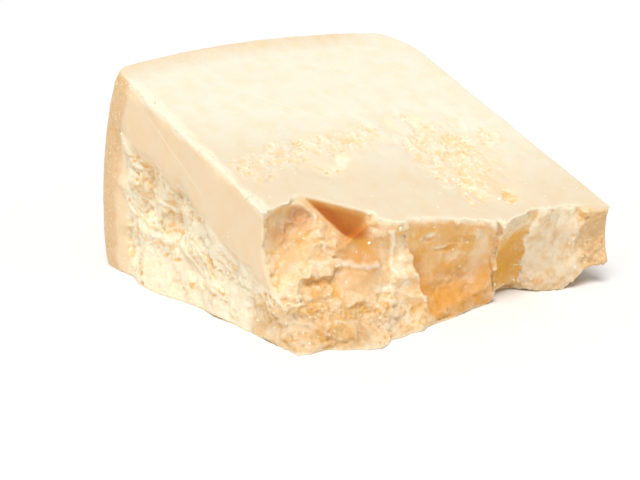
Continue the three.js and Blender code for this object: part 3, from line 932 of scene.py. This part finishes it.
def rind_share(tree, point, thickness, under_top):
    """How much rind shows: tan to its thickness, fading out with a ragged inner edge. It shows less on
    the top, where the cut smeared the paste over it."""
    along_axis = add(tree, "ShaderNodeSeparateXYZ", in0=point).outputs["X"]
    depth = rind_depth(tree, point, along_axis)
    ragged = add(tree, "ShaderNodeTexNoise", in0=point, in2=1 / 9, in3=4.0, in4=0.6)
    edge = add(tree, "ShaderNodeMath", operation="MULTIPLY_ADD", in0=ragged, in1=RIND_WANDER, in2=depth)
    wander = RIND_WANDER / 2
    share = add(tree, "ShaderNodeMapRange", in0=edge, in1=wander, in2=thickness + wander)
    tan = add(tree, "ShaderNodeValToRGB", in0=share)
    stops = tan.color_ramp.elements
    stops.new(RIND_HOLD)
    for stop, level in zip(stops, (0.95, 0.75, 0.0)):
        stop.color = rgba((level,) * 3)
    on_top = add(tree, "ShaderNodeMapRange", in0=along_axis, in1=110.0, in2=135.0, in3=0.4, in4=0.05)
    fading = masked(tree, share, (0.0, 1.0, 1.35, 0.2), on_top)
    fresh = add(tree, "ShaderNodeMapRange", in0=under_top, in1=0.4, in2=1.6, in3=fading, in4=1.0)
    return add(tree, "ShaderNodeMath", operation="MULTIPLY", in0=tan, in1=fresh)


def cut_rind(tree, point, colours, strength, blotches, base):
    """The rind where it was cut through: cloudy, with dry white specks and darker freckles."""
    dots = add(tree, "ShaderNodeTexNoise", in0=point, in2=1 / 1.3, in3=2.0)
    return laid_over(
        tree, base,
        (strength, colours.rind, "MIX"),
        (masked(tree, blotches, (0.45, 0.65, 0.0, 0.5), strength), RIND_CLOUD, "MULTIPLY"),
        (masked(tree, dots, (0.4, 0.3, 0.0, 0.6), strength), RIND_DOT, "MULTIPLY"),
        (masked(tree, dots, (0.6, 0.7, 0.0, 0.6), strength), colours.chalk, "MIX"),
    )


def sliced_and_broken_paste(colours, sizes):
    """Paste of a hard cheese aged two years: ivory and faintly waxy where a knife sliced it, granular
    and straw-coloured where it broke, amber in the clean facets, with white crystals all through.
    Light soaks a few millimetres into it, which warms every shadow."""
    material, tree, shader = new_material("aged_cheese_paste", 0.5)
    shader.inputs["Specular IOR Level"].default_value = 0.35
    let_light_in(shader, 0.5, (1.0, 0.72, 0.45), 1.5)
    point = millimetres(tree, AXIS_PLACE)
    tones = {
        name: add(tree, "ShaderNodeAttribute", attribute_name=name).outputs["Fac"] for name in TONES
    }
    blotches = add(tree, "ShaderNodeTexNoise", in0=point, in2=1 / 7, in3=5.0, in4=0.6)
    under_top = add(tree, "ShaderNodeVectorMath", operation="DOT_PRODUCT", in0=point, in1=-TOP_NORMAL)
    upper = add(tree, "ShaderNodeMapRange", in0=under_top, in1=0.3, in2=1.4, in3=0.95, in4=0.0)
    faces = cut_and_broken(tree, point, colours, tones, upper, blotches)
    with_facets = amber_facets(tree, point, colours, tones, faces)
    patchy = mottled(tree, point, colours, tones, with_facets)
    grainy = granular(tree, point, colours, tones, patchy)
    # Painted shade in deep amber over the walls of the break that lie in shade, then the knife's pale
    # lines.
    lined = laid_over(
        tree, grainy,
        (tones["shade"], colours.deep, "MIX"),
        (scratches(tree, point, upper), colours.chalk, "MIX"),
    )
    strength = rind_share(tree, point, sizes.rind / MM, under_top)
    colour = cut_rind(tree, point, colours, strength, blotches, lined)

    # Grit of 0.4 mm is as fine as shows at arm's length.
    grit = add(tree, "ShaderNodeTexNoise", in0=point, in2=1 / 0.8, in3=4.0, in4=0.7)
    depth = add(tree, "ShaderNodeMapRange", in0=tones["broken"], in3=0.12, in4=0.8)
    bump = add(tree, "ShaderNodeBump", in0=depth, in1=0.35 * MM)
    tree.links.new(grit.outputs["Fac"], bump.inputs["Height"])
    tree.links.new(colour.outputs[2], shader.inputs["Base Color"])
    tree.links.new(bump.outputs["Normal"], shader.inputs["Normal"])
    return material


def brushed_rind(colours):
    """Rind brushed with oil while the wheel aged: golden tan, satin, mottled with darker freckles. The
    shelf board and the brush left darker patches and fine lines across the wheel's side."""
    material, tree, shader = new_material("brushed_rind", 0.42)
    let_light_in(shader, 0.12, (1.0, 0.5, 0.2), 1.5)
    point = millimetres(tree)
    clouds = add(tree, "ShaderNodeTexNoise", in0=point, in2=1 / 18, in3=4.0, in4=0.6)
    freckles = add(tree, "ShaderNodeTexNoise", in0=point, in2=1 / 2.5, in3=3.0)
    patches = add(tree, "ShaderNodeTexNoise", in0=point, in2=1 / 32, in3=5.0, in4=0.65)
    across = add(tree, "ShaderNodeMapping", in0=point, in3=(0.08, 0.5, 1.0))
    brushed = add(tree, "ShaderNodeTexNoise", in0=across, in2=1 / 1.6, in3=3.0)
    freckle = add(tree, "ShaderNodeMapRange", in0=freckles, in1=0.55, in2=0.75, in4=0.5)
    patch = add(tree, "ShaderNodeMapRange", in0=patches, in1=0.45, in2=0.68, in4=0.55)
    line = add(tree, "ShaderNodeMapRange", in0=brushed, in1=0.5, in2=0.75, in4=0.4)
    colour = laid_over(
        tree, colours.skin,
        (clouds, colours.rind, "MIX"),
        (freckle, SKIN_FRECKLE, "MULTIPLY"),
        (patch, SKIN_PATCH, "MULTIPLY"),
        (line, SKIN_LINE, "MULTIPLY"),
    )
    pitted = add(tree, "ShaderNodeMath", operation="ADD", in0=freckles, in1=brushed)
    bump = add(tree, "ShaderNodeBump", in0=0.35, in1=0.3 * MM)
    tree.links.new(pitted.outputs[0], bump.inputs["Height"])
    tree.links.new(colour.outputs[2], shader.inputs["Base Color"])
    tree.links.new(bump.outputs["Normal"], shader.inputs["Normal"])
    return material


def dry_crumb(colours):
    """Crumbs of the paste, dried at their edges: matt and almost white."""
    material, tree, shader = new_material("dry_cheese_crumb", 0.7)
    let_light_in(shader, 0.35, (1.0, 0.55, 0.25), 1.0)
    place = add(tree, "ShaderNodeTexCoord").outputs["Object"]
    clouds = add(tree, "ShaderNodeTexNoise", in0=place, in2=1 / (4 * MM))
    share = add(tree, "ShaderNodeMapRange", in0=clouds, in1=0.35, in2=0.65)
    colour = add(tree, "ShaderNodeMix", data_type="RGBA", in0=share, in6=colours.chalk, in7=colours.crag)
    tree.links.new(colour.outputs[2], shader.inputs["Base Color"])
    return material


def seamless_paper(stage):
    """White seamless background paper: matt, even and a little brighter than the cheese."""
    material, _, shader = new_material("seamless_paper", 0.9)
    shader.inputs["Base Color"].default_value = rgba(stage.floor)
    shader.inputs["Specular IOR Level"].default_value = 0.1
    return material


# ---- Meshes ---------------------------------------------------------------------------------------


def new_piece(name, shape):
    """Puts a shape in the scene as an object at the origin."""
    mesh = bpy.data.meshes.new(name)
    shape.to_mesh(mesh)
    shape.free()
    piece = bpy.data.objects.new(name, mesh)
    bpy.context.scene.collection.objects.link(piece)
    return piece


def apply_modifiers(piece):
    """Replaces a piece's mesh by what its modifiers make of it."""
    graph = bpy.context.evaluated_depsgraph_get()
    finished = bpy.data.meshes.new_from_object(piece.evaluated_get(graph))
    piece.modifiers.clear()
    piece.data = finished


def inside_box(co):
    """Keeps a point inside the solid's box."""
    return Vector(max(low, min(high, value)) for low, value, high in zip(LOW, co, HIGH))


def soften(shape, verts, passes):
    """Evens out points of a mesh."""
    for _ in range(passes):
        bmesh.ops.smooth_vert(
            shape, verts=verts, factor=0.5, use_axis_x=True, use_axis_y=True, use_axis_z=True,
        )


def fine_mesh(voxel):
    """The solid's form as one even mesh of small cells."""
    shape = bmesh.new()
    shape.from_mesh(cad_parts[NODE].data)
    bmesh.ops.remove_doubles(shape, verts=shape.verts, dist=0.01 * MM)
    piece = new_piece("cheese_chunk", shape)
    remesh = piece.modifiers.new("cells", "REMESH")
    remesh.mode = "VOXEL"
    remesh.voxel_size = voxel
    apply_modifiers(piece)
    return piece


def carve(piece, sizes):
    """Softens the facets of the broken faces and gives every face its relief."""
    shape = bmesh.new()
    shape.from_mesh(piece.data)
    shape.verts.ensure_lookup_table()
    soften(shape, [v for v in shape.verts if broken_share(wheel_point(v.co)) > 0.3], 2)
    soften(shape, shape.verts, 1)
    shape.normal_update()
    depths = (sizes.chip_depth / MM, sizes.grain_depth / MM)
    moved = []
    for v in shape.verts:
        p = wheel_point(v.co)
        height = relief(p, v.normal, depths) * ramp(p.z, 0.0, 0.8)
        moved.append(v.co + v.normal * height * MM)
    for v, co in zip(shape.verts, moved):
        v.co = inside_box(co)
    shape.to_mesh(piece.data)
    shape.free()


def thin_out(piece, count):
    """Merges the flat parts into larger triangles until about that many are left."""
    piece.data.calc_loop_triangles()
    thin = piece.modifiers.new("thin", "DECIMATE")
    thin.ratio = min(1.0, count / len(piece.data.loop_triangles))
    apply_modifiers(piece)


# Painted light from above the top cut fades between these depths, and the amber veil ends at these X.
LIT_DEPTH = (0.8, 3.8)
UNVEILED = (110.0, 114.0)
# A point counts as proud or sunk against the mesh after this many smoothings, and as sheltered by how
# many rays of this length meet cheese. Sunk and sheltered points get painted shade in gold.
SETTLE_PASSES = 12
RAYS = 14
RAY_REACH = 7.0
SHELTER = (0.05, 0.75)
GOLDEN_ANGLE = math.pi * (3.0 - math.sqrt(5.0))


def even_directions(count):
    """Directions spread evenly over a sphere."""
    for i in range(count):
        z = 1.0 - (2 * i + 1) / count
        flat = math.sqrt(1.0 - z * z)
        yield Vector((flat * math.cos(i * GOLDEN_ANGLE), flat * math.sin(i * GOLDEN_ANGLE), z))


def sheltered(surface, v, directions):
    """Share of the light on a point that the cheese around it holds off."""
    start = v.co + v.normal * 0.1 * MM
    hidden = 0
    for direction in directions:
        ray = v.normal + direction
        if ray.length > 0.1 and surface.ray_cast(start, ray.normalized(), RAY_REACH * MM)[0]:
            hidden += 1
    return hidden / len(directions)


def crumbled_tones(p, crumbled, proud):
    """How hollow and how chalky the crumbled top is, given how far the point stands proud: the gold of
    its sunk points is painted shade beside golden flecks, and the chalk of its proud points is dry
    crumbs and painted highlight.
    """
    hollow = 0.45 * ramp(-proud, 0.0, 0.5) + 0.3 * ramp(wave(p, 3.5), 0.05, 0.4)
    return crumbled * hollow, 0.8 * crumbled * ramp(proud, 0.05, 0.45)


def broken_tones(p, v, proud, shelter):
    """The tones of the broken faces: the mesh's attributes, each from 0 to 1."""
    front = on_front(p)
    smooth, amber = facets(p)
    mottling = ramp(billows(p, 9.0, 4), -0.6, 0.6)
    dent, (_, crest, crease) = marks(wandering(p, 3.0), front > 0.5)
    # Light comes in through the top cut: the first few millimetres below it get painted light, with less
    # amber and less painted shade.
    lit = front * (1.0 - ramp(below_top(p), *LIT_DEPTH))
    veiled = front * (0.12 + 0.46 * mottling) * (1.0 - 0.7 * ramp(p.x, *UNVEILED))
    gritty = 0.35 + 0.5 * ramp(wave(p, 1.6), 0.0, 0.4)
    gritty *= (0.6 + 0.4 * front) * ramp(dent, 0.2, 0.9)
    # Gold as painted shade on faces turned downwards and in dents, sheltered points and creases beside
    # ridges, joined with the gritty pits' own gold and the golden patches.
    under = 0.45 * ramp(-v.normal.z, 0.0, 0.5)
    cavity_shade = 0.4 * max(ramp(-proud, 0.1, 0.9), shelter, crease)
    sunk = max(cavity_shade, under, gritty, 0.7 * ((1.0 - smooth) * pits(p)), goldness(p))
    # Pale on proud points and, in the chalk below, on ridge crests: dry grains and flakes, and painted
    # highlight where they stand out.
    dry_grains_and_highlight = 0.8 * ramp(proud, 0.05, 0.6) * (1.0 - 0.7 * amber)
    return {
        "broken": (1.0 - 0.6 * smooth) * (0.6 + 0.4 * front),
        "amber": (1.0 - 0.4 * lit) * max(amber, veiled),
        # Painted shadow where little light reaches the front.
        "dull": dullness(p),
        # Painted shade in deep amber on walls in shade, less where painted light comes through the top.
        "shade": (1.0 - 0.75 * lit) * shaded(p),
        "hollow": sunk * (1.0 - 0.8 * crest),
        "chalk": max(dry_grains_and_highlight, paleness(p), 0.95 * crest),
    }


def tint(piece):
    """Writes where the cheese is broken, amber, golden in hollows and chalky, and where painted shade
    and painted shadow lie on it, for its material. Its gold and chalk are partly painted shade and
    painted light too.
    """
    shape = bmesh.new()
    shape.from_mesh(piece.data)
    surface = BVHTree.FromBMesh(shape)
    directions = list(even_directions(RAYS))
    settled = shape.copy()
    soften(settled, settled.verts, SETTLE_PASSES)
    layers = {name: shape.verts.layers.float.new(name) for name in TONES}
    shape.normal_update()
    settled.verts.ensure_lookup_table()
    for v in shape.verts:
        p = wheel_point(v.co)
        crumbled = crumbled_share(p)
        broken = broken_share(p) * (1.0 - 0.85 * crumbled)
        proud = (v.co - settled.verts[v.index].co).dot(v.normal) / MM
        tones = dict.fromkeys(TONES, 0.0)
        tones["chalk"] = max(0.15 * crumbled, 0.6 * worn_edge(p, v.normal))
        if crumbled > 0.0:
            tones["hollow"], dry = crumbled_tones(p, crumbled, proud)
            tones["chalk"] = max(tones["chalk"], dry)
        if broken > 0.0:
            shelter = ramp(sheltered(surface, v, directions), *SHELTER)
            for name, tone in broken_tones(p, v, proud, shelter).items():
                tones[name] = max(tones[name], broken * tone)
            # The torn left end turns pale away from its gold: dry paste, and painted light that
            # brightens the end.
            dry = 0.85 * (1.0 - on_front(p)) * (1.0 - ramp(tones["hollow"], 0.1, 0.5))
            tones["chalk"] = max(tones["chalk"], broken * dry)
        for name, layer in layers.items():
            v[layer] = tones[name]
    settled.free()
    for v in shape.verts:
        v.co = inside_box(v.co)
    shape.to_mesh(piece.data)
    shape.free()


# Faces that look outwards are the brushed rind down to this depth, from this far below the top cut.
SKIN_DEPTH = 4.0
SKIN_BELOW_TOP = 0.4


def paint_rind(piece):
    """Gives the wheel's outside the rind's material and the rest the paste's."""
    for face in piece.data.polygons:
        p = wheel_point(face.center)
        out = Vector((0.0, p.y, p.z)).normalized()
        facing = max(face.normal.dot(out), face.normal.x)
        outside = skin_depth(p) < SKIN_DEPTH and facing > 0.5
        face.material_index = int(outside and below_top(p) > SKIN_BELOW_TOP)


CRUMB_SEED = 7
# A crumb's largest size, how deep it sits, how far its corners are off, all as shares of its radius.
LARGEST_CRUMB = 2.2
CRUMB_SUNK = 0.3
CRUMB_JOLT = 0.28


def scatter_crumbs(source, count, radius):
    """One mesh of small angular crumbs, sunk a little into the rough parts of the cheese."""
    draw = random.Random(CRUMB_SEED)
    spots = [v for v in source.data.vertices if v.normal.z > -0.3]
    shape = bmesh.new()
    placed = 0
    while placed < count:
        v = draw.choice(spots)
        p = wheel_point(v.co)
        smooth = facets(p)[0]
        cluster = ramp(wave(p, 5.0), 0.1, 0.5)
        rim = 1.0 - ramp(below_top(p), 2.0, 5.0)
        loose = (0.15 + 0.85 * rim) * (1.0 - 0.95 * smooth)
        loose *= 1.0 - 0.9 * in_scar(p) * on_front(p)
        dry = max(0.4 * crumbled_share(p), 0.5 * worn_edge(p, v.normal))
        chance = max(broken_share(p) * loose, dry) * cluster
        # None cling to the notch.
        notch = band(p.x, NOTCH_LEFT, NOTCH_RIGHT, 1.0) * ramp(p.z, NOTCH_FOOT - 6.0, NOTCH_FOOT - 2.0)
        chance *= 1.0 - notch * on_front(p)
        if p.z < 1.5 or draw.random() > chance:
            continue
        size = radius * min(LARGEST_CRUMB, draw.lognormvariate(0.0, 0.4))
        turn = Euler([draw.uniform(0.0, math.tau) for _ in range(3)]).to_matrix().to_4x4()
        stretch = Matrix.Diagonal([draw.uniform(0.6, 1.3) for _ in range(3)] + [1.0])
        seat = v.co - v.normal * size * CRUMB_SUNK
        made = bmesh.ops.create_icosphere(
            shape, subdivisions=1, radius=size, matrix=Matrix.Translation(seat) @ turn @ stretch,
        )
        for corner in made["verts"]:
            jolt = Vector([draw.uniform(-1.0, 1.0) for _ in range(3)]) * size * CRUMB_JOLT
            corner.co = inside_box(corner.co + jolt)
        placed += 1
    return new_piece("clinging_crumbs", shape)


# ---- Operators ------------------------------------------------------------------------------------

# Where the soft light hangs above the cheese, in metres.
KEY_PLACE = (-0.42, -0.34, 1.15)


class CHEESE_OT_chunk(bpy.types.Operator):
    """Make the chunk with its crags, cuts and rind"""

    bl_idname = "cheese.chunk"
    bl_label = "Chunk"

    def execute(self, context):
        sizes = context.scene.cheese_sizes
        colours = context.scene.cheese_colours
        piece = fine_mesh(sizes.voxel)
        carve(piece, sizes)
        thin_out(piece, sizes.faces)
        tint(piece)
        piece.data.materials.append(sliced_and_broken_paste(colours, sizes))
        piece.data.materials.append(brushed_rind(colours))
        paint_rind(piece)
        piece.data.shade_smooth()
        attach(piece, "root")
        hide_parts(NODE)
        return {"FINISHED"}


class CHEESE_OT_crumbs(bpy.types.Operator):
    """Stick crumbs to the broken faces"""

    bl_idname = "cheese.crumbs"
    bl_label = "Crumbs"

    def execute(self, context):
        sizes = context.scene.cheese_sizes
        source = bpy.data.objects["cheese_chunk"]
        piece = scatter_crumbs(source, sizes.crumbs, sizes.crumb)
        piece.data.materials.append(dry_crumb(context.scene.cheese_colours))
        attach(piece, "root")
        return {"FINISHED"}


class CHEESE_OT_stage(bpy.types.Operator):
    """Lay the paper and set up the light and the camera"""

    bl_idname = "cheese.stage"
    bl_label = "Stage"

    def execute(self, context):
        stage = context.scene.cheese_stage
        shape = bmesh.new()
        bmesh.ops.create_grid(shape, x_segments=1, y_segments=1, size=stage.floor_size / 2)
        paper = new_piece("paper", shape)
        paper.data.materials.append(seamless_paper(stage))

        world = bpy.data.worlds.new("tent")
        world.use_nodes = True
        tent = world.node_tree.nodes["Background"]
        tent.inputs["Color"].default_value = (1.0, 1.0, 1.0, 1.0)
        tent.inputs["Strength"].default_value = stage.sky
        context.scene.world = world

        key = bpy.data.lights.new("key", "SUN")
        key.energy = stage.key
        key.angle = stage.key_spread
        lamp = bpy.data.objects.new("key", key)
        lamp.location = KEY_PLACE
        lamp.rotation_euler = (-Vector(KEY_PLACE)).to_track_quat("-Z", "Y").to_euler()
        context.scene.collection.objects.link(lamp)

        camera = bpy.data.objects.new("camera", bpy.data.cameras.new("camera"))
        camera.data.sensor_width = 36.0
        camera.data.lens = stage.lens
        camera.data.clip_start = 0.02
        camera.data.clip_end = 30.0
        camera.location = AXIS_PLACE + Vector(stage.camera_place)
        camera.rotation_euler = stage.camera_turn
        context.scene.collection.objects.link(camera)
        context.scene.camera = camera
        context.scene.view_settings.view_transform = "Standard"
        return {"FINISHED"}


class CHEESE_PT_panel(bpy.types.Panel):
    """Lists the pieces of the cheese"""

    bl_idname = "CHEESE_PT_panel"
    bl_label = "Aged Cheese Chunk"
    bl_space_type = "VIEW_3D"
    bl_region_type = "UI"
    bl_category = "Cheese"

    def draw(self, context):
        for maker in MAKERS:
            self.layout.operator(maker.bl_idname)


SETTINGS = {"cheese_sizes": CheeseSizes, "cheese_colours": CheeseColours, "cheese_stage": CheeseStage}
MAKERS = (CHEESE_OT_stage, CHEESE_OT_chunk, CHEESE_OT_crumbs)


def register():
    for kind in (*SETTINGS.values(), *MAKERS, CHEESE_PT_panel):
        bpy.utils.register_class(kind)
    for name, kind in SETTINGS.items():
        setattr(bpy.types.Scene, name, PointerProperty(type=kind))


def unregister():
    for name in SETTINGS:
        delattr(bpy.types.Scene, name)
    for kind in (CHEESE_PT_panel, *reversed(MAKERS), *reversed(SETTINGS.values())):
        bpy.utils.unregister_class(kind)


def main():
    register()
    bpy.ops.cheese.stage()
    bpy.ops.cheese.chunk()
    bpy.ops.cheese.crumbs()


if __name__ == "__main__":
    main()
